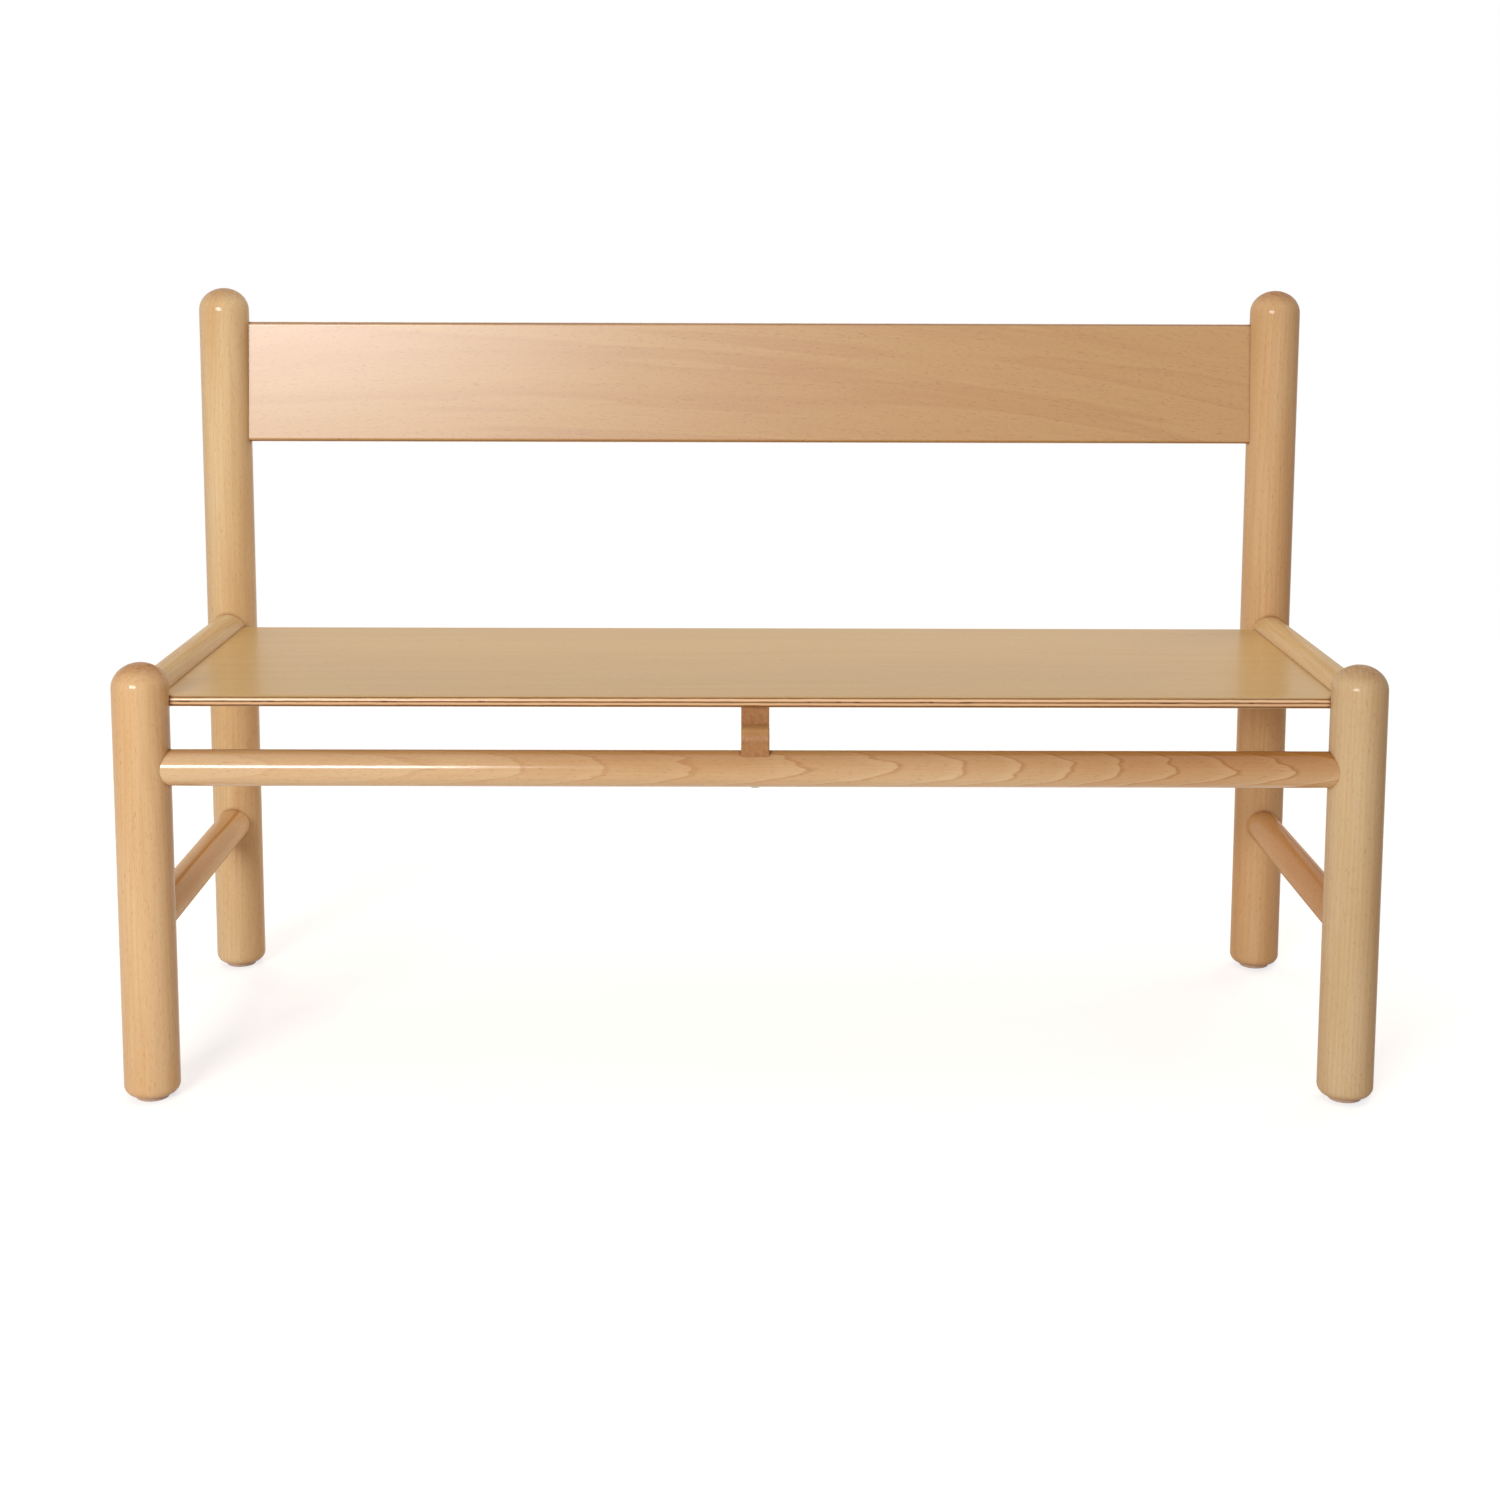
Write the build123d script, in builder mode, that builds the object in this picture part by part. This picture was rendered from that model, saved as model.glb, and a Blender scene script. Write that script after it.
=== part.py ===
from build123d import *

import math
import os

# A beech bench for small children, in millimetres. It stands on z = 0 with its length along X,
# its front towards -Y, and the origin on the floor below its middle. Nothing on it moves.

# Posts, all turned from the same round stock
post_diameter = 40.0
post_spacing_x = 860.0  # between the axes, along the bench
post_spacing_y = 300.0  # between the axes, front to back
dome_height = 18.0
dome_fullness = 0.5523  # reach of the curve's handles, which makes the dome a half ellipse
foot_round = 7.5
front_leg_rise = 24.5  # dome of a front leg above the seat
back_post_rise = 27.5  # dome of a back post above the backrest

# Seat panel
seat_height = 293.5  # floor to the top of the seat
seat_thickness = 8.0
seat_front_inset = 2.0  # front edge behind the axes of the front legs
seat_edge_flat = 1.0  # left between the two rounds of its front and back edges

# Round rails and stretchers, with a turned tenon at each end
seat_rail_diameter = 28.0
stretcher_diameter = 26.0
side_stretcher_height = 125.5  # floor to the axis
long_stretcher_drop = 51.0  # top of the seat down to the axis
tenon_diameter = 16.0
tenon_depth = 24.0  # from the surface of the post to the tip
tenon_root = 3.0  # length of the tenon inside its own rod
groove_wall = 0.4  # wood between the tenon's line and the floor of the seat groove

# Backrest panel, let into the back posts
backrest_width = 98.0  # along its slope, bottom edge to top edge
backrest_thickness = 8.0
backrest_edge_round = 3.0
backrest_rise = 200.5  # top of the seat to the middle of the backrest
backrest_lean = 3.0  # degrees, top towards the back
backrest_housing = 14.0  # how far each end goes into its post

# Support blocks between the long stretchers and the seat
block_width = 20.0
block_shift = 3.5  # right of the middle of the bench
block_nose = 8.0  # outer face beyond the axis of the stretcher
block_saddle = 4.0  # how far the block reaches down over the stretcher
block_nose_round = 9.0
block_edge_round = 1.0
neck_height = 13.0
neck_thickness = 17.0
neck_setback = 7.0  # face of the neck behind the edge of the seat

# Screws that hold the blocks, from below
screw_diameter = 4.0
screw_head_diameter = 8.0
screw_head_height = 2.6
screw_head_round = 0.8
screw_head_proud = 0.3  # below the underside of the stretcher
screw_tip_cover = 6.0  # wood left above the tip
screw_point_length = 5.0
screw_tip_diameter = 1.0
screw_slot_width = 1.1
screw_slot_length = 4.2
screw_slot_depth = 1.2

# Plastic glides under the posts, each held by a nail
glide_diameter = 24.0
glide_thickness = 3.0
glide_round = 1.0
nail_diameter = 2.6
nail_length = 20.0
nail_head_diameter = 6.0
nail_head_height = 1.0
nail_head_depth = 0.6  # face of the head above the floor

# Fits
glue_gap = 0.1  # round joints, all round
panel_gap = 0.2  # panels in their grooves, slots and notches
metal_gap = 0.05  # screws and nails in their holes
socket_floor_gap = 0.5  # beyond the tip of a tenon, screw or nail
overcut = 1.0  # how far a cut runs past a face

# Places that follow from the sizes
post_radius = post_diameter / 2
post_x = post_spacing_x / 2
post_y = post_spacing_y / 2
seat_underside = seat_height - seat_thickness
seat_edge_round = (seat_thickness - seat_edge_flat) / 2
seat_front = -post_y + seat_front_inset
seat_back = post_y - post_radius - panel_gap
seat_rail_height = seat_height - seat_thickness / 2
groove_floor = tenon_diameter / 2 + groove_wall
seat_half_length = post_x - groove_floor - panel_gap
long_stretcher_height = seat_height - long_stretcher_drop
backrest_middle = seat_height + backrest_rise
backrest_top = backrest_middle + backrest_width / 2 * math.cos(math.radians(backrest_lean))
backrest_half_length = post_x - post_radius + backrest_housing
front_leg_height = seat_height + front_leg_rise
back_post_height = backrest_top + back_post_rise
block_shoulder = seat_underside - neck_height
screw_seat = long_stretcher_height - stretcher_diameter / 2 + screw_head_height - screw_head_proud
screw_tip = block_shoulder - screw_tip_cover
nail_seat = nail_head_depth + nail_head_height
nail_tip = nail_seat + nail_length

# Section of the backrest: across its thickness, then up its slope
backrest_plane = Plane(origin=(0, post_y, backrest_middle), x_dir=(0, 1, 0), z_dir=(1, 0, 0)).rotated(
    (-backrest_lean, 0, 0)
)

side_names = {-1: "left", 1: "right"}

# Pieces that stand upright on the point where they are placed
standing = (Align.CENTER, Align.CENTER, Align.MIN)

os.makedirs("parts", exist_ok=True)


def save(piece, name):
    """Label a finished piece and write it out."""
    piece.label = name
    export_step(piece, f"parts/{name}.step")


def make_post(side, row, height):
    """A post with a domed top, a softened foot and blind sockets. Row -1 is the front, 1 the back."""
    axis_x = side * post_x
    axis_y = row * post_y
    shaft_top = height - dome_height
    to_other_row = (0, -row, 0)
    to_other_side = (-side, 0, 0)
    sockets = (
        (to_other_row, seat_rail_height),
        (to_other_row, side_stretcher_height),
        (to_other_side, long_stretcher_height),
    )
    socket_floor = post_radius - tenon_depth - socket_floor_gap
    with BuildPart() as post:
        with BuildSketch(Plane(origin=(axis_x, axis_y, 0), x_dir=(1, 0, 0), z_dir=(0, -1, 0))):
            with BuildLine():
                Polyline(
                    (0, height),
                    (0, glide_thickness),
                    (post_radius, glide_thickness),
                    (post_radius, shaft_top),
                )
                Bezier(
                    (post_radius, shaft_top),
                    (post_radius, shaft_top + dome_fullness * dome_height),
                    (dome_fullness * post_radius, height),
                    (0, height),
                )
            make_face()
        revolve(axis=Axis((axis_x, axis_y, 0), (0, 0, 1)))
        fillet(post.edges().filter_by(GeomType.CIRCLE).group_by(Axis.Z)[0], foot_round)
        for inward, socket_height in sockets:
            floor = Vector(axis_x, axis_y, socket_height) + Vector(inward) * socket_floor
            with BuildSketch(Plane(origin=floor, z_dir=inward)):
                Circle(tenon_diameter / 2 + glue_gap)
            extrude(amount=post_radius - socket_floor + overcut, mode=Mode.SUBTRACT)
        with BuildSketch(Plane.XY.offset(glide_thickness - overcut)):
            with Locations((axis_x, axis_y)):
                Circle(nail_diameter / 2 + metal_gap)
        extrude(amount=nail_tip + socket_floor_gap - glide_thickness + overcut, mode=Mode.SUBTRACT)
        if row == 1:
            with BuildSketch(backrest_plane.offset(side * (backrest_half_length + panel_gap))):
                RectangleRounded(
                    backrest_thickness + 2 * panel_gap,
                    backrest_width + 2 * panel_gap,
                    backrest_edge_round + panel_gap,
                )
            extrude(amount=-side * (backrest_housing + panel_gap + overcut), mode=Mode.SUBTRACT)
    return post.part


def make_rod(diameter, start, direction, span):
    """A round rod between two post axes, scooped to fit the posts, with a tenon at each end."""
    start_point = Vector(start)
    run = Vector(direction)
    end_point = start_point + run * span
    with BuildPart() as rod:
        with BuildSketch(Plane(origin=start_point, z_dir=run)):
            Circle(diameter / 2)
        extrude(amount=span)
        with BuildSketch(Plane.XY.offset(start_point.Z - diameter / 2 - overcut)):
            with Locations((start_point.X, start_point.Y), (end_point.X, end_point.Y)):
                Circle(post_radius + glue_gap)
        extrude(amount=diameter + 2 * overcut, mode=Mode.SUBTRACT)
        for axis_point, inward in ((start_point, run), (end_point, -run)):
            tip = axis_point + inward * (post_radius - tenon_depth)
            with BuildSketch(Plane(origin=tip, z_dir=inward)):
                Circle(tenon_diameter / 2)
            extrude(amount=tenon_depth + glue_gap + tenon_root)
    return rod.part


def make_seat_rail(side):
    """A side rail of the seat, grooved along its inner face for the end of the panel."""
    groove_depth = seat_rail_diameter / 2 + overcut - groove_floor
    groove_middle = side * (post_x - groove_floor - groove_depth / 2)
    start = (side * post_x, -post_y, seat_rail_height)
    rod = make_rod(seat_rail_diameter, start, (0, 1, 0), post_spacing_y)
    with BuildPart() as rail:
        add(rod)
        with Locations((groove_middle, 0, seat_rail_height)):
            Box(groove_depth, post_spacing_y, seat_thickness + 2 * panel_gap, mode=Mode.SUBTRACT)
    return rail.part


def make_long_stretcher(row):
    """A stretcher along the bench, drilled and counterbored from below for the block's screw."""
    start = (-post_x, row * post_y, long_stretcher_height)
    rod = make_rod(stretcher_diameter, start, (1, 0, 0), post_spacing_x)
    with BuildPart() as stretcher:
        add(rod)
        with BuildSketch(Plane.XY.offset(screw_seat)):
            with Locations((block_shift, row * post_y)):
                Circle(screw_diameter / 2 + metal_gap)
        extrude(amount=stretcher_diameter, mode=Mode.SUBTRACT)
        with BuildSketch(Plane.XY.offset(screw_seat)):
            with Locations((block_shift, row * post_y)):
                Circle(screw_head_diameter / 2 + glue_gap)
        extrude(amount=-stretcher_diameter / 2, mode=Mode.SUBTRACT)
    return stretcher.part


def make_seat_block(row, seat_edge):
    """A block that sits astride a long stretcher, its neck set back under the edge of the seat."""
    nose = row * (post_y + block_nose)
    neck_face = seat_edge - row * neck_setback
    tail = neck_face - row * neck_thickness
    base = long_stretcher_height + stretcher_diameter / 2 - block_saddle
    top = seat_underside - glue_gap
    with BuildPart() as block:
        with BuildSketch(Plane.YZ.offset(block_shift - block_width / 2)):
            with BuildLine():
                Polyline(
                    (nose, base),
                    (nose, block_shoulder),
                    (neck_face, block_shoulder),
                    (neck_face, top),
                    (tail, top),
                    (tail, base),
                    close=True,
                )
            make_face()
            with Locations((row * post_y, long_stretcher_height)):
                Circle(stretcher_diameter / 2 + glue_gap, mode=Mode.SUBTRACT)
        extrude(amount=block_width)
        nose_end = 0 if row == -1 else -1
        nose_top = block.edges().filter_by(Axis.X).group_by(Axis.Y)[nose_end].sort_by(Axis.Z)[-1]
        fillet(nose_top, block_nose_round)
        nose_corners = block.edges().filter_by(Axis.Z).group_by(Axis.Y)[nose_end]
        fillet(nose_corners, block_edge_round)
        with BuildSketch(Plane.XY.offset(base - overcut)):
            with Locations((block_shift, row * post_y)):
                Circle(screw_diameter / 2 + metal_gap)
        extrude(amount=screw_tip + socket_floor_gap - base + overcut, mode=Mode.SUBTRACT)
    return block.part


def make_screw(row):
    """A pan-head wood screw, pointing up, with a cross slot in its head."""
    head_face = screw_seat - screw_head_height
    with BuildPart() as screw:
        with Locations((block_shift, row * post_y, head_face)):
            Cylinder(screw_head_diameter / 2, screw_head_height, align=standing)
        fillet(screw.edges().filter_by(GeomType.CIRCLE).sort_by(Axis.Z)[0], screw_head_round)
        with Locations((block_shift, row * post_y, screw_seat)):
            Cylinder(screw_diameter / 2, screw_tip - screw_point_length - screw_seat, align=standing)
        with Locations((block_shift, row * post_y, screw_tip - screw_point_length)):
            Cone(screw_diameter / 2, screw_tip_diameter / 2, screw_point_length, align=standing)
        with Locations((block_shift, row * post_y, head_face)):
            Box(screw_slot_length, screw_slot_width, 2 * screw_slot_depth, mode=Mode.SUBTRACT)
            Box(screw_slot_width, screw_slot_length, 2 * screw_slot_depth, mode=Mode.SUBTRACT)
    return screw.part


def make_glide(side, row):
    """A round plastic glide with a recess for the nail's head."""
    with BuildPart() as glide:
        with Locations((side * post_x, row * post_y, 0)):
            Cylinder(glide_diameter / 2, glide_thickness, align=standing)
        fillet(glide.edges().filter_by(GeomType.CIRCLE).sort_by(Axis.Z)[0], glide_round)
        with BuildSketch(Plane.XY.offset(nail_seat)):
            with Locations((side * post_x, row * post_y)):
                Circle(nail_head_diameter / 2 + panel_gap)
        extrude(amount=-nail_seat - overcut, mode=Mode.SUBTRACT)
        with BuildSketch(Plane.XY):
            with Locations((side * post_x, row * post_y)):
                Circle(nail_diameter / 2 + metal_gap)
        extrude(amount=glide_thickness + overcut, mode=Mode.SUBTRACT)
    return glide.part


def make_nail(side, row):
    """A round nail with a flat head, pointing up."""
    with BuildPart() as nail:
        with Locations((side * post_x, row * post_y, nail_head_depth)):
            Cylinder(nail_head_diameter / 2, nail_head_height, align=standing)
        with Locations((side * post_x, row * post_y, nail_seat)):
            Cylinder(nail_diameter / 2, nail_length, align=standing)
    return nail.part


# Posts, rails and side stretchers, left and right
for side, side_name in side_names.items():
    save(make_post(side, -1, front_leg_height), f"front_leg_{side_name}")
    save(make_post(side, 1, back_post_height), f"back_post_{side_name}")
    save(make_seat_rail(side), f"seat_rail_{side_name}")
    stretcher_start = (side * post_x, -post_y, side_stretcher_height)
    save(
        make_rod(stretcher_diameter, stretcher_start, (0, 1, 0), post_spacing_y),
        f"side_stretcher_{side_name}",
    )

# Long stretchers and the blocks that carry the seat between its ends
save(make_long_stretcher(-1), "front_stretcher")
save(make_long_stretcher(1), "rear_stretcher")
save(make_seat_block(-1, seat_front), "front_seat_block")
save(make_seat_block(1, seat_back), "rear_seat_block")

# Seat panel: its ends lie in the rails' grooves, its front corners are notched round the legs
with BuildPart() as seat_panel:
    with BuildSketch(Plane.XY.offset(seat_underside)):
        with Locations((0, (seat_front + seat_back) / 2)):
            Rectangle(2 * seat_half_length, seat_back - seat_front)
        with Locations((-post_x, -post_y), (post_x, -post_y)):
            Circle(post_radius + panel_gap, mode=Mode.SUBTRACT)
    extrude(amount=seat_thickness)
    long_edges = seat_panel.edges().filter_by(Axis.X).group_by(Axis.Y)
    fillet(long_edges[0] + long_edges[-1], seat_edge_round)
save(seat_panel.part, "seat_panel")

# Backrest panel, with its long edges rounded
with BuildPart() as backrest_panel:
    with BuildSketch(backrest_plane.offset(-backrest_half_length)):
        RectangleRounded(backrest_thickness, backrest_width, backrest_edge_round)
    extrude(amount=2 * backrest_half_length)
save(backrest_panel.part, "backrest_panel")

# Screws under the blocks, one group of separate solids
screws = [make_screw(-1), make_screw(1)]
with BuildPart() as block_screws:
    add(screws)
save(block_screws.part, "block_screws")

# Glides, and their nails as one group of separate solids
nails = []
for side, side_name in side_names.items():
    save(make_glide(side, -1), f"glide_front_{side_name}")
    save(make_glide(side, 1), f"glide_back_{side_name}")
    nails += [make_nail(side, -1), make_nail(side, 1)]
with BuildPart() as glide_nails:
    add(nails)
save(glide_nails.part, "glide_nails")
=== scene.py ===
# %% [markdown]
# # A beech bench for small children
#
# The bench is turned from beech: four domed posts, round rails and round stretchers, with a thin
# plywood seat and a plywood backrest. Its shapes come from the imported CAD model, which Blender
# loads as a fixed frame. What is left to do here is the looks: the wood, its clear lacquer, the
# edges of the plywood, the small plastic glides, and the light of a plain photo studio.

import math

import bpy
from mathutils import Matrix, Vector


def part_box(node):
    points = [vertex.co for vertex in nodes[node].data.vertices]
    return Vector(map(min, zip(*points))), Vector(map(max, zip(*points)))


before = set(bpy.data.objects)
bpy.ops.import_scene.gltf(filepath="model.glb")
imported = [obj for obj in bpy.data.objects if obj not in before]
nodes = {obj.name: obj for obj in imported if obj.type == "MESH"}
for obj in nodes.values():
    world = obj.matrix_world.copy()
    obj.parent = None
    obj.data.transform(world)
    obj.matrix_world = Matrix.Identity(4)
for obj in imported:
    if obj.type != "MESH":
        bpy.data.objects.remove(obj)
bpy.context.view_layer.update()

# %% [markdown]
# ## Smooth shading
#
# The CAD model arrives as triangles. A round post would show flat facets, so every piece is shaded
# smooth, and edges that turn by more than a set angle stay sharp. Marking the sharp edges leaves
# each vertex where the CAD put it.

# %% Shade the round pieces smooth
SHARP_ANGLE = math.radians(32)

for piece in nodes.values():
    piece.data.shade_smooth()
    piece.data.set_sharp_from_angle(angle=SHARP_ANGLE)
print("shaded smooth:", len(nodes), "pieces")

# %% [markdown]
# ## Two helpers for materials
#
# Colours are written as sRGB hex values, as a paint program shows them, and one function turns
# them into the linear values that shaders use. The other function adds a node, sets its options,
# and fills its sockets: a value is typed in, and a socket of another node is linked. A colour ramp
# gets its stops there too.


# %% Helpers
def linear(hex_colour):
    """Linear RGBA of an sRGB hex colour."""
    channels = [int(hex_colour[i : i + 2], 16) / 255 for i in (1, 3, 5)]
    return (*(c / 12.92 if c <= 0.04045 else ((c + 0.055) / 1.055) ** 2.4 for c in channels), 1.0)


def add(tree, kind, sockets=None, stops=(), **options):
    """Add a node, set its options, fill its sockets with values or links, and set a ramp's stops."""
    node = tree.nodes.new(kind)
    for option, value in options.items():
        setattr(node, option, value)
    for socket, value in (sockets or {}).items():
        if isinstance(value, bpy.types.NodeSocket):
            tree.links.new(value, node.inputs[socket])
        else:
            node.inputs[socket].default_value = value
    if stops:
        elements = node.color_ramp.elements
        elements.remove(elements[1])
        elements[0].position = stops[0][0]
        elements[0].color = linear(stops[0][1])
        for position, colour in stops[1:]:
            elements.new(position).color = linear(colour)
    return node


print("beech reads as", [round(c, 3) for c in linear("#D2AC78")[:3]])

# %% [markdown]
# ## Wood as a solid
#
# A lathe cuts through the log, so the patterns of the wood belong to the solid and not to its
# surface. They are drawn from the position in space, in millimetres, turned so that the grain runs
# along the first axis. Then a post has lines on its side and dots on its domed end, with no seams.
#
# Every pattern is built from noise of a known size: how far its features reach along the grain and
# across it. These sizes and all other measures of the figure are in millimetres, and the rest is
# in Blender's metres. Colours are built by staining: a tone times a pale pattern, as light passing
# through wood and lacquer would be.

# %% Position, noise and stain
MILLIMETRES = (1000, 1000, 1000)
QUARTER_TURN = math.radians(90)
GRAIN_TURNS = {"X": (0, 0, 0), "Y": (0, 0, -QUARTER_TURN), "Z": (0, QUARTER_TURN, 0)}
# A mix node has hidden sockets of the same names for numbers, so its colours go by their places.
MIX_A = 6
MIX_B = 7
MIX_RESULT = 2


def wood_space(tree, grain, shift):
    """Position in millimetres, turned so that the grain runs along the first axis."""
    place = add(tree, "ShaderNodeTexCoord").outputs["Object"]
    turn = GRAIN_TURNS[grain]
    sockets = {"Vector": place, "Location": shift, "Rotation": turn, "Scale": MILLIMETRES}
    return add(tree, "ShaderNodeMapping", sockets).outputs[0]


def noise(tree, wood, size, detail):
    """Noise between 0 and 1 whose features have the given size in millimetres."""
    scaled = add(tree, "ShaderNodeMapping", {"Vector": wood, "Scale": [1 / edge for edge in size]})
    sockets = {"Vector": scaled.outputs[0], "Scale": 1.0, "Detail": detail}
    return add(tree, "ShaderNodeTexNoise", sockets).outputs["Fac"]


def stain(tree, colour, by, amount=1.0):
    """Multiply a colour by another, as a clear stain does."""
    sockets = {0: amount, MIX_A: colour, MIX_B: by}
    mix = add(tree, "ShaderNodeMix", sockets, data_type="RGBA", blend_type="MULTIPLY")
    return mix.outputs[MIX_RESULT]


print("grain can run along", ", ".join(GRAIN_TURNS))

# %% [markdown]
# ## Growth layers
#
# Beech grows a new layer each year, 2 to 5 mm thick, with a slightly darker end. In a short rod
# the layers are nearly flat sheets. Where they run straight along the rod they come out as lines.
# Where they lean, they come out of the round surface as nested flames. A bend makes the lean grow
# towards one end of the rod, as on the front stretcher. Noise makes the sheets wander, and more
# detail in that noise makes them ripple.

# %% Growth layers
WANDER_SIZE = (240.0, 26.0, 26.0)


def growth_layers(tree, wood, lean, bend, facing, spacing, wander, ripples):
    """Place within a growth layer, from 0 to 1, and the noise that the layers wander by."""
    across = (lean, math.cos(facing), math.sin(facing))
    flat = add(tree, "ShaderNodeVectorMath", {0: wood, 1: across}, operation="DOT_PRODUCT")
    along = add(tree, "ShaderNodeSeparateXYZ", {0: wood}).outputs["X"]
    square = add(tree, "ShaderNodeMath", {0: along, 1: along}, operation="MULTIPLY").outputs[0]
    sockets = {0: square, 1: bend, 2: flat.outputs["Value"]}
    bowed = add(tree, "ShaderNodeMath", sockets, operation="MULTIPLY_ADD").outputs[0]
    drift = noise(tree, wood, WANDER_SIZE, ripples)
    sockets = {0: drift, 1: wander, 2: bowed}
    moved = add(tree, "ShaderNodeMath", sockets, operation="MULTIPLY_ADD").outputs[0]
    counted = add(tree, "ShaderNodeMath", {0: moved, 1: spacing}, operation="DIVIDE").outputs[0]
    layer = add(tree, "ShaderNodeMath", {0: counted}, operation="FRACT").outputs[0]
    return layer, drift


print("layers wander over", WANDER_SIZE[0], "mm along the grain")

# %% [markdown]
# ## Fibres and flecks
#
# Close up, beech is known by its flecks: short dark dashes where the rays of the tree are cut. Real
# ones are 2 to 4 mm long and a third of a millimetre thick. At this distance that would not show,
# so they are drawn about twice as thick. Between them run pale and dark fibres, far finer in real
# wood and drawn here in bundles a millimetre thick. They also vary the gloss and give the lacquer a
# very fine relief.

# %% Fibres and flecks
FIBRE_SIZE = (60.0, 0.9, 0.9)
FIBRE_DETAIL = 3.0
FIBRE_STAIN = [(0.3, "#FAF5EE"), (0.65, "#FFFFFF")]
FLECK_SIZE = (4.5, 0.7, 0.7)
FLECK_DETAIL = 1.0
FLECK_START = 0.60
FLECK_FULL = 0.74
FLECK_STAIN = "#B98450"


def fibres_and_flecks(tree, wood, colour, fleck_amount):
    """Stain a colour with fibres and flecks. Also returns the fibre pattern for gloss and relief."""
    fibre = noise(tree, wood, FIBRE_SIZE, FIBRE_DETAIL)
    fibre_stain = add(tree, "ShaderNodeValToRGB", {"Fac": fibre}, stops=FIBRE_STAIN)
    fibred = stain(tree, colour, fibre_stain.outputs[0])
    fleck = noise(tree, wood, FLECK_SIZE, FLECK_DETAIL)
    limits = {"Value": fleck, "From Min": FLECK_START, "From Max": FLECK_FULL, "To Max": fleck_amount}
    amount = add(tree, "ShaderNodeMapRange", limits).outputs[0]
    return stain(tree, fibred, linear(FLECK_STAIN), amount), fibre


print("flecks are", FLECK_SIZE[0], "mm long")

# %% [markdown]
# ## End grain
#
# The domed tops of the posts and the faces of the small blocks cut across the fibres, and open
# fibres soak up more lacquer. They come out darker, in soft blotches. The angle between the surface
# and the grain tells how squarely the fibres are cut, so the stain grows smoothly over a dome.

# %% End grain
END_START = 0.15
END_FULL = 0.9
END_AMOUNT = 1.1
END_STAIN = "#C79F73"
BLOTCH_SIZE = (6.0, 3.0, 3.0)
BLOTCH_DETAIL = 3.0


def end_grain(tree, wood, colour, axis):
    """Darken a colour, in blotches, where the surface cuts the fibres."""
    normal = add(tree, "ShaderNodeNewGeometry").outputs["Normal"]
    end_on = add(tree, "ShaderNodeVectorMath", {0: normal, 1: axis}, operation="DOT_PRODUCT")
    cosine = end_on.outputs["Value"]
    square = add(tree, "ShaderNodeMath", {0: cosine, 1: cosine}, operation="MULTIPLY").outputs[0]
    limits = {"Value": square, "From Min": END_START, "From Max": END_FULL, "To Max": END_AMOUNT}
    soaked = add(tree, "ShaderNodeMapRange", limits).outputs[0]
    blotch = noise(tree, wood, BLOTCH_SIZE, BLOTCH_DETAIL)
    amount = add(tree, "ShaderNodeMath", {0: soaked, 1: blotch}, operation="MULTIPLY").outputs[0]
    return stain(tree, colour, linear(END_STAIN), amount)


print("end grain is stained", END_STAIN)

# %% [markdown]
# ## Joint lines and painted shade
#
# The corners where two pieces meet are stained darker, which shows as a thin brown line along each
# joint. It is partly a dark joint line and partly painted shade. Ambient occlusion with a reach of a
# few millimetres finds those corners, so no line has to be drawn by hand.

# %% Joint lines and painted shade
JOINT_REACH = 0.004
JOINT_SAMPLES = 8
JOINT_CLOSED = 0.45
JOINT_OPEN = 0.9
JOINT_AMOUNT = 0.7
JOINT_AND_SHADE_STAIN = "#B78A5C"


def joint_lines_and_painted_shade(tree, colour):
    """Darken a colour in the corners where two pieces meet: partly a dark joint line, partly painted
    shade.
    """
    # Occlusion finds the corners, and the darkening there is painted shade as well as a joint line.
    corner = add(tree, "ShaderNodeAmbientOcclusion", {"Distance": JOINT_REACH}, samples=JOINT_SAMPLES)
    limits = {
        "Value": corner.outputs["AO"],
        "From Min": JOINT_CLOSED,
        "From Max": JOINT_OPEN,
        "To Min": JOINT_AMOUNT,
        "To Max": 0.0,
    }
    amount = add(tree, "ShaderNodeMapRange", limits).outputs[0]
    return stain(tree, colour, linear(JOINT_AND_SHADE_STAIN), amount)


print("joint lines reach", JOINT_REACH, "m")

# %% [markdown]
# ## Clear lacquer
#
# The bench is sprayed with a satin lacquer, an IOR of about 1.5. Two things are seen in it: a broad
# soft sheen from the fibres just below, and small bright dots where a lamp is mirrored by the film
# itself. So the base of the shader is fairly rough, and on most pieces its coat is smoother.

# %% Lacquer
LACQUER_IOR = 1.5
FIBRE_LOW = 0.3
FIBRE_HIGH = 0.7
FIBRE_RELIEF = 0.08
FIBRE_DEPTH = 0.0001


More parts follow.
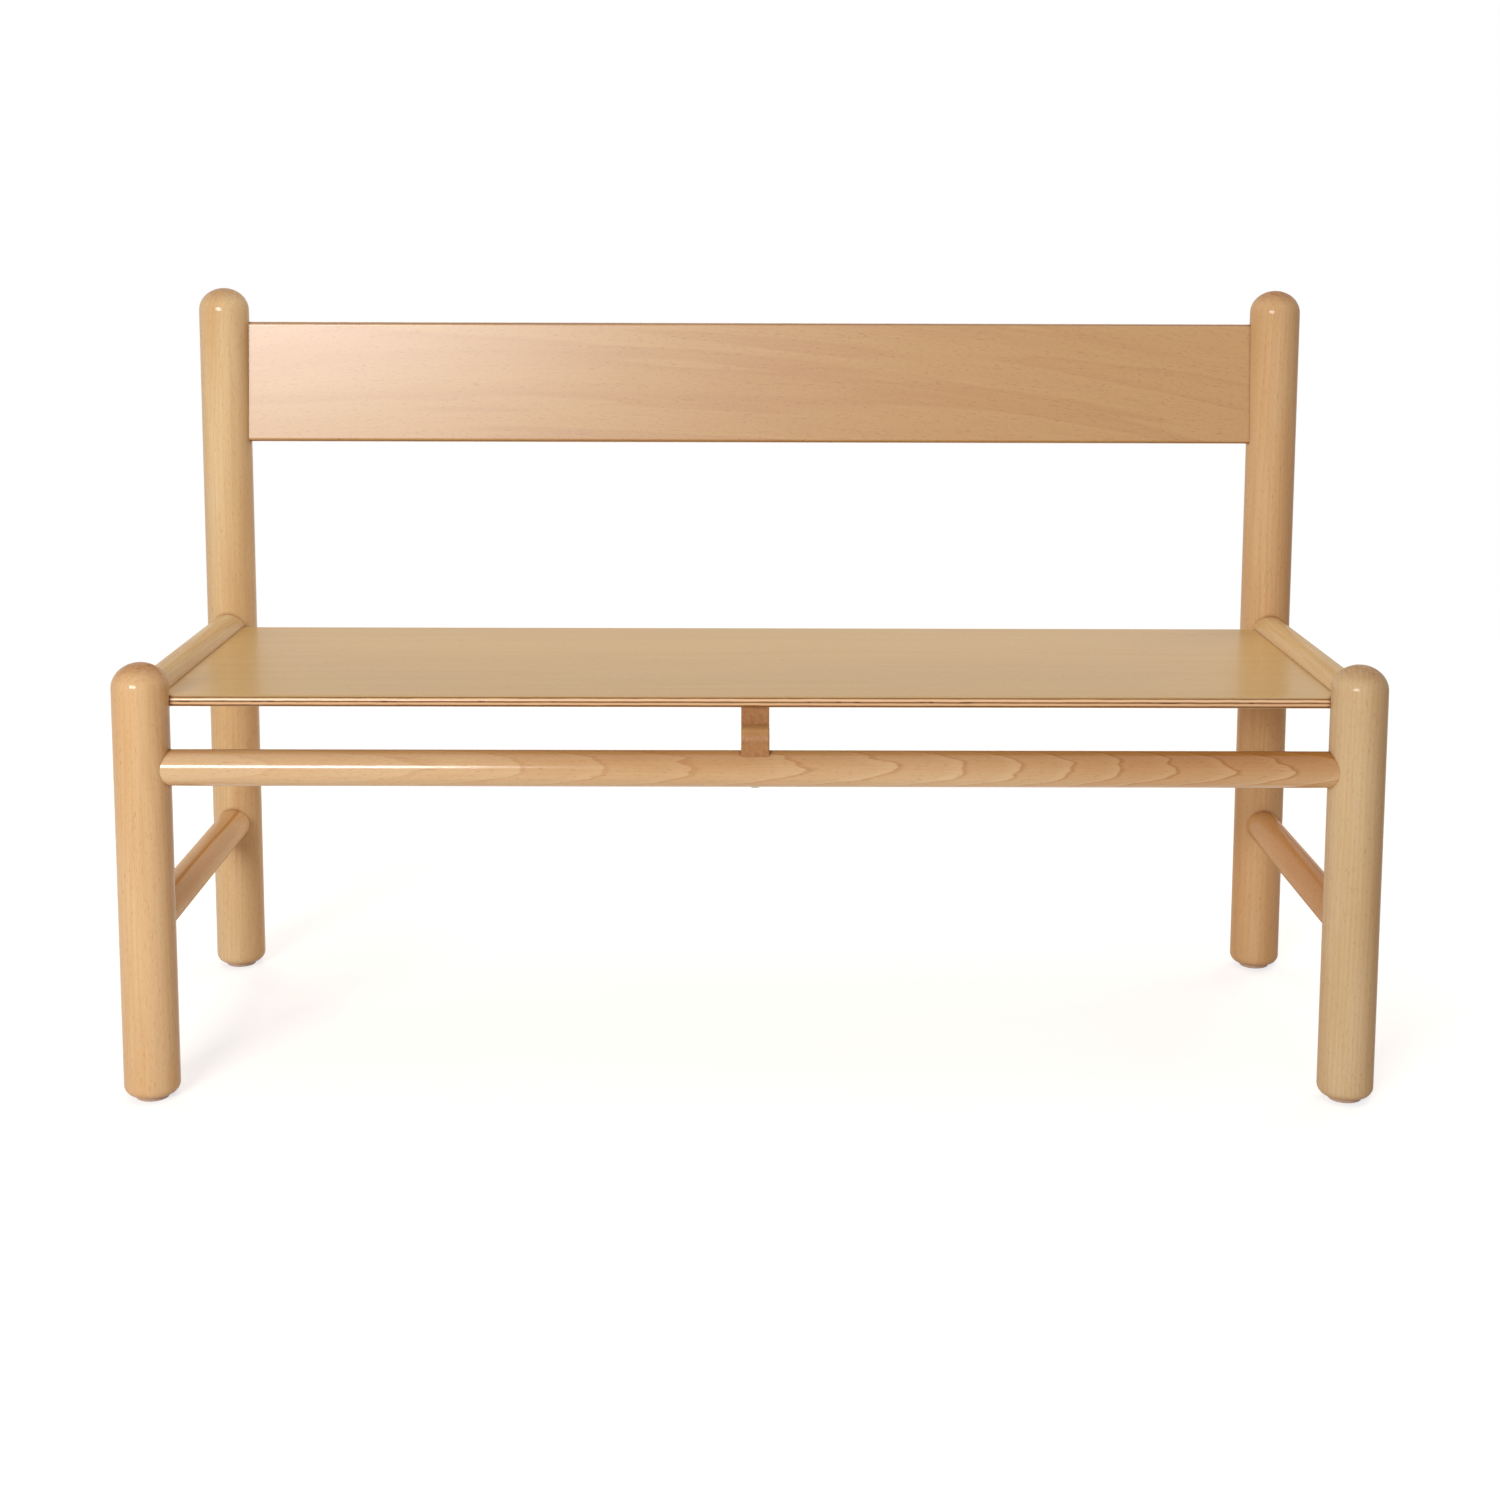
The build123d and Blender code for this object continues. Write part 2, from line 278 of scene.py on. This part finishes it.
def lacquer(material, colour, fibre, rough, sheen, coat, coat_rough, joints=True):
    """Finish a material: its colour, the gloss and relief of its fibres, and the film on top."""
    tree = material.node_tree
    shader = tree.nodes["Principled BSDF"]
    # Darker corners: dark joint lines, and painted shade.
    if joints:
        colour = joint_lines_and_painted_shade(tree, colour)
    limits = {
        "Value": fibre,
        "From Min": FIBRE_LOW,
        "From Max": FIBRE_HIGH,
        "To Min": rough[0],
        "To Max": rough[1],
    }
    gloss = add(tree, "ShaderNodeMapRange", limits)
    sockets = {"Height": fibre, "Strength": FIBRE_RELIEF, "Distance": FIBRE_DEPTH}
    relief = add(tree, "ShaderNodeBump", sockets)
    tree.links.new(colour, shader.inputs["Base Color"])
    tree.links.new(gloss.outputs[0], shader.inputs["Roughness"])
    tree.links.new(relief.outputs[0], shader.inputs["Normal"])
    shader.inputs["IOR"].default_value = LACQUER_IOR
    shader.inputs["Specular IOR Level"].default_value = sheen
    if isinstance(coat, bpy.types.NodeSocket):
        tree.links.new(coat, shader.inputs["Coat Weight"])
    else:
        shader.inputs["Coat Weight"].default_value = coat
    shader.inputs["Coat Roughness"].default_value = coat_rough
    shader.inputs["Coat IOR"].default_value = LACQUER_IOR


def dress(node_name, material):
    """Give a CAD piece one material in place of its packed one."""
    mesh = nodes[node_name].data
    mesh.materials.clear()
    mesh.materials.append(material)


print("lacquer has an IOR of", LACQUER_IOR)

# %% [markdown]
# ## Turned beech
#
# One function makes the wood of every turned piece, and of the two small blocks: a tone, stained by
# the growth layers, by the slow drift of the log, by fibres and flecks and by end grain, under
# lacquer. Layers come in three kinds. Plain ones hardly show, wide ones give a single painted dark
# line along a rod, which stands in for a line of shade, and strong ones give flames. A browner stain
# grows towards one side: painted shade on sides that stand in shade, and heartwood, the older wood
# inside the log, on the front stretcher.

# %% Turned beech
GRAIN_AXES = {"X": (1, 0, 0), "Y": (0, 1, 0), "Z": (0, 0, 1)}
TURNED_FLECKS = 0.28
TURNED_ROUGH = (0.46, 0.58)
PLAIN_LAYERS = [(0.0, "#FFFFFF"), (0.5, "#FEFDFB"), (0.85, "#FBF7F1"), (1.0, "#FFFFFF")]
# One dark line along a rod: a painted line of shade, used on the side stretchers.
SHADE_LINE_LAYERS = [
    (0.0, "#F4E8D9"),
    (0.04, "#DEC3A2"),
    (0.12, "#F4EADD"),
    (0.6, "#FAF5EE"),
    (0.94, "#FFFFFF"),
]
FLAME_LAYERS = [
    (0.0, "#EAD8C0"),
    (0.04, "#DEC6A8"),
    (0.12, "#F5EBDE"),
    (0.70, "#F8F1E8"),
    (0.90, "#FFFFFF"),
    (0.97, "#FFFFFF"),
]
DRIFT_STAIN = [(0.3, "#FFFFFF"), (0.7, "#F0E2D0")]
# The browner stain: painted shade on shaded sides, and heartwood on the front stretcher.
HEART_AND_SHADE_STAIN = "#D6B990"


def turned_beech(
    name,
    tone,
    grain,
    shift,
    facing,
    lean=0.012,
    bend=0.0,
    spacing=3.4,
    layers=PLAIN_LAYERS,
    fade=None,
    wander=11.0,
    ripples=2.0,
    heart_and_shade=None,
    sheen=0.0,
    coat=0.45,
    coat_rough=0.14,
    joints=True,
):
    """Lacquered beech of one tone.

    Spacing, wander, fade and heart_and_shade are in millimetres, and facing is in radians.
    Fade, if any, is where along the grain its layers start to show and where they show in full.
    Heart_and_shade, if any, is the direction of a browner side, where that starts and where it is
    full. It is painted shade on sides that stand in shade, and heartwood as well on the front
    stretcher.
    """
    material = bpy.data.materials.new(name)
    material.use_nodes = True
    tree = material.node_tree
    wood = wood_space(tree, grain, shift)
    layer, drift = growth_layers(tree, wood, lean, bend, facing, spacing, wander, ripples)
    layer_stain = add(tree, "ShaderNodeValToRGB", {"Fac": layer}, stops=layers)
    drift_stain = add(tree, "ShaderNodeValToRGB", {"Fac": drift}, stops=DRIFT_STAIN)
    shown = 1.0
    if fade:
        along = add(tree, "ShaderNodeSeparateXYZ", {0: wood}).outputs["X"]
        limits = {"Value": along, "From Min": fade[0], "From Max": fade[1]}
        shown = add(tree, "ShaderNodeMapRange", limits).outputs[0]
    colour = stain(tree, linear(tone), layer_stain.outputs[0], shown)
    colour = stain(tree, colour, drift_stain.outputs[0])
    # A browner side: painted shade, and on the front stretcher heartwood too.
    if heart_and_shade:
        direction, start, full = heart_and_shade
        side = add(tree, "ShaderNodeVectorMath", {0: wood, 1: direction}, operation="DOT_PRODUCT")
        limits = {"Value": side.outputs["Value"], "From Min": start, "From Max": full}
        amount = add(tree, "ShaderNodeMapRange", limits).outputs[0]
        colour = stain(tree, colour, linear(HEART_AND_SHADE_STAIN), amount)
    colour, fibre = fibres_and_flecks(tree, wood, colour, TURNED_FLECKS)
    colour = end_grain(tree, wood, colour, GRAIN_AXES[grain])
    lacquer(material, colour, fibre, TURNED_ROUGH, sheen, coat, coat_rough, joints)
    return material


# This browner stain is painted shade on shaded sides, and heartwood on the front stretcher.
print("heartwood is stained", HEART_AND_SHADE_STAIN)

# %% [markdown]
# ## The turned pieces
#
# Hardly two pieces of the real bench have the same tone, because they were cut from many boards.
# Each recipe gives a tone, the axis that the grain follows, a shift to another part of the log,
# and the angle that the layers face. Each side stretcher has one painted dark line, a line of shade.
# The front stretcher has a strong figure: its layers lean more and more towards its right end, where
# they make flames, and they fade towards its left end. Its upper side is browner at the right, which
# is heartwood and painted shade under the seat. The right sides of the two right posts are browner
# too, which is painted shade. The two small blocks are alike.

# %% Turned pieces
SEAT_BLOCK = {
    "tone": "#BC9059",
    "grain": "Y",
    "sheen": 0.1,
    "coat": 1.0,
    "coat_rough": 0.42,
    "joints": False,
}
SIDE_RAIL = {"grain": "Y", "coat": 0.25}
# The side stretchers' dark line is painted shade.
SIDE_STRETCHER = {"facing": 0.0, "spacing": 30.0, "layers": SHADE_LINE_LAYERS, **SIDE_RAIL}
PIECES = {
    "front_leg_left": {
        "tone": "#E3BF92",
        "grain": "Z",
        "shift": (0, 0, 0),
        "facing": 0.4,
        "coat": 0.6,
    },
    "front_leg_right": {
        "tone": "#DAC3A0",
        "grain": "Z",
        "shift": (310, 40, 0),
        "facing": 1.3,
        # Its right side is browner: painted shade.
        "heart_and_shade": ((0, 0, -1), 430, 468),
        "coat": 0.35,
    },
    "back_post_left": {
        "tone": "#E5C99F",
        "grain": "Z",
        "shift": (120, 0, 70),
        "facing": 0.9,
        "coat": 0.55,
    },
    "back_post_right": {
        "tone": "#DDBB92",
        "grain": "Z",
        "shift": (900, 60, 30),
        "facing": 2.0,
        # Its right side is browner: painted shade.
        "heart_and_shade": ((0, 0, -1), 398, 462),
        "coat": 0.35,
    },
    "seat_rail_left": {"tone": "#EED5AB", "shift": (40, 0, 0), "facing": 1.1, **SIDE_RAIL},
    "seat_rail_right": {"tone": "#E7CDA0", "shift": (700, 0, 90), "facing": 0.2, **SIDE_RAIL},
    "side_stretcher_left": {"tone": "#FCE2BC", "shift": (0, -11, 0), **SIDE_STRETCHER},
    "side_stretcher_right": {"tone": "#E2BA8C", "shift": (450, 3, 0), **SIDE_STRETCHER},
    "front_stretcher": {
        "tone": "#E4C7A1",
        "grain": "X",
        "shift": (0, 0, 0),
        "facing": -0.36,
        "lean": 0.14,
        "bend": 0.00011,
        "spacing": 8.0,
        "layers": FLAME_LAYERS,
        "fade": (-600, 350),
        "wander": 18.0,
        "ripples": 3.0,
        # Its upper side is browner towards the right: heartwood, and painted shade under the seat.
        "heart_and_shade": ((0.02, 0, 1), 238, 261),
        "coat": 1.0,
        "coat_rough": 0.15,
    },
    "rear_stretcher": {
        "tone": "#DBB182",
        "grain": "X",
        "shift": (350, 0, 40),
        "facing": 0.8,
        "lean": 0.03,
        "bend": 0.00006,
    },
    "front_seat_block": {"shift": (80, 0, 0), "facing": 0.8, **SEAT_BLOCK},
    "rear_seat_block": {"shift": (20, 60, 0), "facing": 0.3, **SEAT_BLOCK},
}
for node_name, recipe in PIECES.items():
    dress(node_name, turned_beech(f"turned_beech_{node_name}", **recipe))
print("turned beech on", len(PIECES), "pieces")

# %% [markdown]
# ## Peeled veneer
#
# The seat and the backrest are thin beech plywood. Its face is peeled from the log like paper from
# a roll, so the growth layers come out as broad, soft contours, and on the backrest they droop
# towards both ends. Contours of noise that is stretched along the grain have that look, and bending
# the space that the noise is drawn in makes them droop.

# %% Veneer face
CONTOUR_SIZE = (700.0, 30.0, 30.0)
CONTOUR_DETAIL = 2.5
CONTOUR_COUNT = 4.0
CONTOUR_STAIN = [(0.0, "#FFFFFF"), (0.6, "#FCF8F4"), (0.9, "#F7EFE5"), (1.0, "#FFFFFF")]


def veneer(tree, tone, bend, shift, figure, fleck_amount):
    """Colour of a peeled face, its fibre pattern and its space. Bend makes the grain droop."""
    straight = wood_space(tree, "X", shift)
    along = add(tree, "ShaderNodeSeparateXYZ", {0: straight}).outputs["X"]
    square = add(tree, "ShaderNodeMath", {0: along, 1: along}, operation="MULTIPLY").outputs[0]
    sockets = {0: square, 1: bend, 2: straight}
    wood = add(tree, "ShaderNodeVectorMath", sockets, operation="MULTIPLY_ADD").outputs[0]
    contour = noise(tree, wood, CONTOUR_SIZE, CONTOUR_DETAIL)
    sockets = {0: contour, 1: CONTOUR_COUNT}
    counted = add(tree, "ShaderNodeMath", sockets, operation="MULTIPLY").outputs[0]
    layer = add(tree, "ShaderNodeMath", {0: counted}, operation="FRACT").outputs[0]
    layer_stain = add(tree, "ShaderNodeValToRGB", {"Fac": layer}, stops=CONTOUR_STAIN)
    colour = stain(tree, linear(tone), layer_stain.outputs[0], figure)
    colour, fibre = fibres_and_flecks(tree, wood, colour, fleck_amount)
    return colour, fibre, straight


print("veneer contours are about", CONTOUR_SIZE[0], "mm long")

# %% [markdown]
# ## Ply edges
#
# Seven thin plies make the 8 mm board. Seen from the edge they are stripes about a millimetre
# thick, pale where their fibres run along the edge and brown where they end in it. The depth under
# the face picks the ply, and noise makes the stripes waver as pressed veneers do. Here and there
# the core has a gap between two strips of veneer, which shows as a short dark dash.

# %% Ply edges
PLY_WOBBLE_SIZE = (14.0, 14.0, 3.0)
PLY_WOBBLE_DETAIL = 2.0
PLY_WOBBLE = 0.08
GAP_SIZE = (11.0, 11.0, 30.0)
GAP_DETAIL = 1.0
GAP_START = 0.6
GAP_FULL = 0.66
GAP_STAIN = "#B4845F"
CORE_PLY = [(0.42, "#000000"), (0.45, "#FFFFFF"), (0.55, "#FFFFFF"), (0.58, "#000000")]
PLY_STRIPES = [
    (0.06, "#C69A68"),
    (0.10, "#7E5128"),
    (0.20, "#7E5128"),
    (0.24, "#E6BD90"),
    (0.40, "#E6BD90"),
    (0.44, "#86582D"),
    (0.56, "#86582D"),
    (0.60, "#E0B486"),
    (0.76, "#E0B486"),
    (0.80, "#7E5128"),
    (0.92, "#7E5128"),
    (0.96, "#C69A68"),
]


def ply_edge(tree, wood, up, top, thickness):
    """Colour of an edge. Up is the direction across the plies and top is a point on the face."""
    place = add(tree, "ShaderNodeTexCoord").outputs["Object"]
    below = add(tree, "ShaderNodeVectorMath", {0: place, 1: top}, operation="SUBTRACT").outputs[0]
    down = [-v / thickness for v in up]
    depth = add(tree, "ShaderNodeVectorMath", {0: below, 1: down}, operation="DOT_PRODUCT")
    wobble = noise(tree, wood, PLY_WOBBLE_SIZE, PLY_WOBBLE_DETAIL)
    sockets = {0: wobble, 1: PLY_WOBBLE, 2: depth.outputs["Value"]}
    wavering = add(tree, "ShaderNodeMath", sockets, operation="MULTIPLY_ADD").outputs[0]
    ply = add(tree, "ShaderNodeValToRGB", {"Fac": wavering}, stops=PLY_STRIPES).outputs[0]
    core = add(tree, "ShaderNodeValToRGB", {"Fac": wavering}, stops=CORE_PLY).outputs[0]
    strips = noise(tree, wood, GAP_SIZE, GAP_DETAIL)
    limits = {"Value": strips, "From Min": GAP_START, "From Max": GAP_FULL}
    gap = add(tree, "ShaderNodeMapRange", limits).outputs[0]
    in_core = add(tree, "ShaderNodeMath", {0: gap, 1: core}, operation="MULTIPLY").outputs[0]
    return stain(tree, ply, linear(GAP_STAIN), in_core)


print("ply edges have", len(PLY_STRIPES), "colour stops")

# %% [markdown]
# ## Plywood
#
# One material has both the face and the edge, because a CAD panel is one solid. The direction of
# the surface tells them apart, so the change follows the rounded corner between them. The edges
# have a full film and catch the light as bright lines.

# %% Plywood
FACE_START = 0.55
FACE_FULL = 0.85
EDGE_COAT = 1.0


def plywood(
    name,
    tone,
    bend,
    shift,
    figure,
    fleck_amount,
    up,
    top,
    thickness,
    rough,
    sheen,
    coat,
    coat_rough,
):
    """Lacquered plywood, with a peeled face and a striped edge."""
    material = bpy.data.materials.new(name)
    material.use_nodes = True
    tree = material.node_tree
    face, fibre, wood = veneer(tree, tone, bend, shift, figure, fleck_amount)
    edge = ply_edge(tree, wood, up, top, thickness)
    normal = add(tree, "ShaderNodeNewGeometry").outputs["Normal"]
    flat = add(tree, "ShaderNodeVectorMath", {0: normal, 1: up}, operation="DOT_PRODUCT")
    cosine = flat.outputs["Value"]
    square = add(tree, "ShaderNodeMath", {0: cosine, 1: cosine}, operation="MULTIPLY").outputs[0]
    limits = {"Value": square, "From Min": FACE_START, "From Max": FACE_FULL}
    on_face = add(tree, "ShaderNodeMapRange", limits).outputs[0]
    sockets = {0: on_face, MIX_A: edge, MIX_B: face}
    colour = add(tree, "ShaderNodeMix", sockets, data_type="RGBA").outputs[MIX_RESULT]
    limits = {"Value": on_face, "To Min": EDGE_COAT, "To Max": coat}
    film = add(tree, "ShaderNodeMapRange", limits).outputs[0]
    lacquer(material, colour, fibre, rough, sheen, film, coat_rough)
    return material


print("edges have a coat of", EDGE_COAT)

# %% [markdown]
# ## The two panels
#
# The seat has a thin film, so it mirrors little. The backrest has a full one, in which the lamp
# shows as a broad soft sheen on its left half. It leans back a little, so its plies lean too: a
# point on its face is found from the middle of its box and half of its thickness.

# %% Seat and backrest
BACKREST_LEAN = math.radians(3)
PANEL_THICKNESS = 0.008
seat_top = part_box("seat_panel")[1]
back_low, back_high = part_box("backrest_panel")
back_forward = Vector((0, -math.cos(BACKREST_LEAN), math.sin(BACKREST_LEAN)))
back_face = (back_low + back_high) / 2 + back_forward * (PANEL_THICKNESS / 2)
SEAT = {
    "tone": "#D6B47B",
    "bend": (0, 0.00005, 0),
    "shift": (0, 0, 0),
    "figure": 0.4,
    "fleck_amount": 0.25,
    "up": (0, 0, 1),
    "top": seat_top,
    "thickness": PANEL_THICKNESS,
    "rough": (0.38, 0.46),
    "sheen": 0.06,
    "coat": 0.26,
    "coat_rough": 0.22,
}
BACKREST = {
    "tone": "#BE9359",
    "bend": (0, 0, 0.00019),
    "shift": (200, 700, 240),
    "figure": 1.0,
    "fleck_amount": 0.45,
    "up": back_forward,
    "top": back_face,
    "thickness": PANEL_THICKNESS,
    "rough": (0.32, 0.38),
    "sheen": 0.78,
    "coat": 1.0,
    "coat_rough": 0.34,
}
dress("seat_panel", plywood("peeled_beech_plywood_seat", **SEAT))
dress("backrest_panel", plywood("peeled_beech_plywood_backrest", **BACKREST))
print("plywood on the seat and the backrest")

# %% [markdown]
# ## Plastic glides and plated fixings
#
# Under each post is a small moulded glide of pinkish beige plastic, scuffed by floors. The screws
# and nails are zinc-plated steel, so they are metal with a slightly cloudy shine. Both are plain
# materials with fine patches, which vary the colour and the gloss and give a little relief.

# %% Glides, screws and nails
SCUFF_SIZE = (1.6, 1.6, 1.6)
PLATING_SIZE = (0.9, 0.9, 0.9)
PATCH_DETAIL = 4.0
PATCH_LOW = 0.3
PATCH_HIGH = 0.7
PATCH_RELIEF = 0.2
PATCH_DEPTH = 0.0001


def patchy(name, dark, light, size, rough, metal):
    """A material with fine patches of colour and gloss, and the same patches as relief."""
    material = bpy.data.materials.new(name)
    material.use_nodes = True
    tree = material.node_tree
    shader = tree.nodes["Principled BSDF"]
    patch = noise(tree, wood_space(tree, "X", (0, 0, 0)), size, PATCH_DETAIL)
    stops = [(PATCH_LOW, dark), (PATCH_HIGH, light)]
    colour = add(tree, "ShaderNodeValToRGB", {"Fac": patch}, stops=stops)
    limits = {
        "Value": patch,
        "From Min": PATCH_LOW,
        "From Max": PATCH_HIGH,
        "To Min": rough[0],
        "To Max": rough[1],
    }
    gloss = add(tree, "ShaderNodeMapRange", limits)
    sockets = {"Height": patch, "Strength": PATCH_RELIEF, "Distance": PATCH_DEPTH}
    relief = add(tree, "ShaderNodeBump", sockets)
    tree.links.new(colour.outputs[0], shader.inputs["Base Color"])
    tree.links.new(gloss.outputs[0], shader.inputs["Roughness"])
    tree.links.new(relief.outputs[0], shader.inputs["Normal"])
    shader.inputs["Metallic"].default_value = metal
    return material


PLASTIC = {
    "dark": "#B99A86",
    "light": "#CDB09C",
    "size": SCUFF_SIZE,
    "rough": (0.4, 0.6),
    "metal": 0.0,
}
PLATED = {
    "dark": "#A7A29A",
    "light": "#C4C0B8",
    "size": PLATING_SIZE,
    "rough": (0.28, 0.42),
    "metal": 1.0,
}
moulded_plastic = patchy("moulded_polyethylene", **PLASTIC)
plated_steel = patchy("zinc_plated_steel", **PLATED)
for corner in ("front_left", "front_right", "back_left", "back_right"):
    dress(f"glide_{corner}", moulded_plastic)
for fixing in ("block_screws", "glide_nails"):
    dress(fixing, plated_steel)
print("plastic glides and plated fixings done")

# %% [markdown]
# ## White paper
#
# The bench stands on white paper that runs on without a visible end. The paper is a plain diffuse
# warm white, so it takes the shadow of the bench, and the light that it throws back is warm on the
# undersides. For the camera, and for what is mirrored or seen through glass, some cool white is
# added, which makes the paper look white, and further away it fades to pure white. That keeps the
# background white with no more light on the bench.

# %% White paper
FLOOR_HALF = 30.0
PAPER = "#E2D9C8"
PAPER_ROUGH = 0.9
PAPER_LIFT = 0.69
LIFT_COLOUR = "#EAF4FF"
FADE_START = 0.9
FADE_END = 2.2
WHITE = "#FFFFFF"

floor_mesh = bpy.data.meshes.new("studio_floor")
near_edge = [(-FLOOR_HALF, -FLOOR_HALF, 0), (FLOOR_HALF, -FLOOR_HALF, 0)]
far_edge = [(FLOOR_HALF, FLOOR_HALF, 0), (-FLOOR_HALF, FLOOR_HALF, 0)]
floor_mesh.from_pydata(near_edge + far_edge, [], [(0, 1, 2, 3)])
floor = bpy.data.objects.new("studio_floor", floor_mesh)
bpy.context.scene.collection.objects.link(floor)


def seen(tree):
    """1 for rays from the camera or from a mirror or glass, and 0 for rays that light the bench."""
    path = add(tree, "ShaderNodeLightPath").outputs
    direct = {0: path["Is Camera Ray"], 1: path["Is Glossy Ray"]}
    mirrored = add(tree, "ShaderNodeMath", direct, operation="MAXIMUM").outputs[0]
    sockets = {0: mirrored, 1: path["Is Transmission Ray"]}
    return add(tree, "ShaderNodeMath", sockets, operation="MAXIMUM").outputs[0]


paper = bpy.data.materials.new("white_paper")
paper.use_nodes = True
tree = paper.node_tree
paper_shader = tree.nodes["Principled BSDF"]
paper_shader.inputs["Base Color"].default_value = linear(PAPER)
paper_shader.inputs["Roughness"].default_value = PAPER_ROUGH
paper_shader.inputs["Specular IOR Level"].default_value = 0.0
visible = seen(tree)
lift = add(tree, "ShaderNodeMath", {0: visible, 1: PAPER_LIFT}, operation="MULTIPLY").outputs[0]
glow = add(tree, "ShaderNodeEmission", {"Color": linear(LIFT_COLOUR), "Strength": lift}).outputs[0]
lifted = add(tree, "ShaderNodeAddShader", {0: paper_shader.outputs[0], 1: glow}).outputs[0]
place = add(tree, "ShaderNodeTexCoord").outputs["Object"]
distance = add(tree, "ShaderNodeVectorMath", {0: place}, operation="LENGTH").outputs["Value"]
limits = {"Value": distance, "From Min": FADE_START, "From Max": FADE_END}
fade = add(tree, "ShaderNodeMapRange", limits, interpolation_type="SMOOTHSTEP").outputs[0]
far = add(tree, "ShaderNodeMath", {0: fade, 1: visible}, operation="MULTIPLY").outputs[0]
white = add(tree, "ShaderNodeEmission", {"Color": linear(WHITE), "Strength": 1.0}).outputs[0]
faded = add(tree, "ShaderNodeMixShader", {0: far, 1: lifted, 2: white}).outputs[0]
tree.links.new(faded, tree.nodes["Material Output"].inputs["Surface"])
floor_mesh.materials.append(paper)
print("white paper fades out from", FADE_START, "to", FADE_END, "m")

# %% [markdown]
# ## White world
#
# Behind the paper the world is pure white where it is seen. As light it is weak and slightly warm,
# like light that comes back from a room. The same test of rays keeps the two apart.

# %% White world
WORLD_STRENGTH = 0.22
WARM_BOUNCE = "#FFF0DE"

world = bpy.data.worlds.new("white_studio")
world.use_nodes = True
bpy.context.scene.world = world
tree = world.node_tree
background = tree.nodes["Background"]
visible = seen(tree)
tints = {0: visible, MIX_A: linear(WARM_BOUNCE), MIX_B: linear(WHITE)}
tint = add(tree, "ShaderNodeMix", tints, data_type="RGBA").outputs[MIX_RESULT]
tree.links.new(tint, background.inputs["Color"])
limits = {"Value": visible, "To Min": WORLD_STRENGTH, "To Max": 1.0}
strength = add(tree, "ShaderNodeMapRange", limits).outputs[0]
tree.links.new(strength, background.inputs["Strength"])
print("the world lights with a strength of", WORLD_STRENGTH)

# %% [markdown]
# ## Lamps
#
# The main lamp stands behind the camera, to its left and higher. It makes the left sides bright,
# the small dots on the domes, the white line along the front stretcher and the sheen on the left
# of the backrest. A wide softbox above lights the seat, and two slightly warm ones behind keep the
# back and the right side of the bench from going dark. These three are fills, so they are not
# mirrored in the lacquer.

# %% Lamps
LAMPS = {
    "lamp_left_of_camera": {
        "place": (-1.2, -3.0, 1.2),
        "aim": (0, 0, 0.35),
        "width": 1.3,
        "height": 0.7,
        "power": 69,
        "colour": WHITE,
        "mirrored": True,
    },
    "lamp_above": {
        "place": (0, -0.2, 2.6),
        "aim": (0, 0, 0),
        "width": 2.2,
        "height": 2.2,
        "power": 15,
        "colour": WHITE,
        "mirrored": False,
    },
    "lamp_behind_left": {
        "place": (-1.6, 3.1, 1.9),
        "aim": (0, 0, 0.3),
        "width": 2.4,
        "height": 2.4,
        "power": 34,
        "colour": WARM_BOUNCE,
        "mirrored": False,
    },
    "lamp_behind_right": {
        "place": (2.6, 2.4, 1.9),
        "aim": (0, 0, 0.3),
        "width": 2.4,
        "height": 2.4,
        "power": 42,
        "colour": WARM_BOUNCE,
        "mirrored": False,
    },
}


def softbox(name, place, aim, width, height, power, colour, mirrored):
    """An area lamp that looks at a point."""
    lamp = bpy.data.lights.new(name, "AREA")
    lamp.shape = "RECTANGLE"
    lamp.size = width
    lamp.size_y = height
    lamp.energy = power
    lamp.color = linear(colour)[:3]
    rig = bpy.data.objects.new(name, lamp)
    rig.location = place
    rig.rotation_euler = (Vector(aim) - Vector(place)).to_track_quat("-Z", "Y").to_euler()
    rig.visible_glossy = mirrored
    bpy.context.scene.collection.objects.link(rig)


for lamp_name, settings in LAMPS.items():
    softbox(lamp_name, **settings)
print("lamps:", ", ".join(LAMPS))

# %% [markdown]
# ## Camera
#
# The camera stands in front of the middle of the bench, a little higher than its backrest. The
# photo's frame is cropped well below the camera's axis, as an architect's camera would do with a
# shifted lens. Only part of that is given to the lens shift, so that the bench also stays in frame
# in views from other sides, and a slight downward tilt does the rest.

# %% Camera
CAMERA_PLACE = (-0.0071, -1.7551, 0.6321)
CAMERA_YAW = math.radians(0.23)
CAMERA_PITCH = math.radians(7.652)
CAMERA_ROLL = math.radians(0.166)
LENS = 55.68
SENSOR_WIDTH = 36.0
SHIFT_DOWN = -0.15

camera_data = bpy.data.cameras.new("studio_camera")
camera_data.lens = LENS
camera_data.sensor_width = SENSOR_WIDTH
camera_data.shift_y = SHIFT_DOWN
camera = bpy.data.objects.new("studio_camera", camera_data)
bpy.context.scene.collection.objects.link(camera)
camera.matrix_world = (
    Matrix.Translation(CAMERA_PLACE)
    @ Matrix.Rotation(-CAMERA_YAW, 4, "Z")
    @ Matrix.Rotation(QUARTER_TURN - CAMERA_PITCH, 4, "X")
    @ Matrix.Rotation(CAMERA_ROLL, 4, "Z")
)
bpy.context.scene.camera = camera
bpy.context.scene.view_settings.view_transform = "Standard"
print("camera at", CAMERA_PLACE)
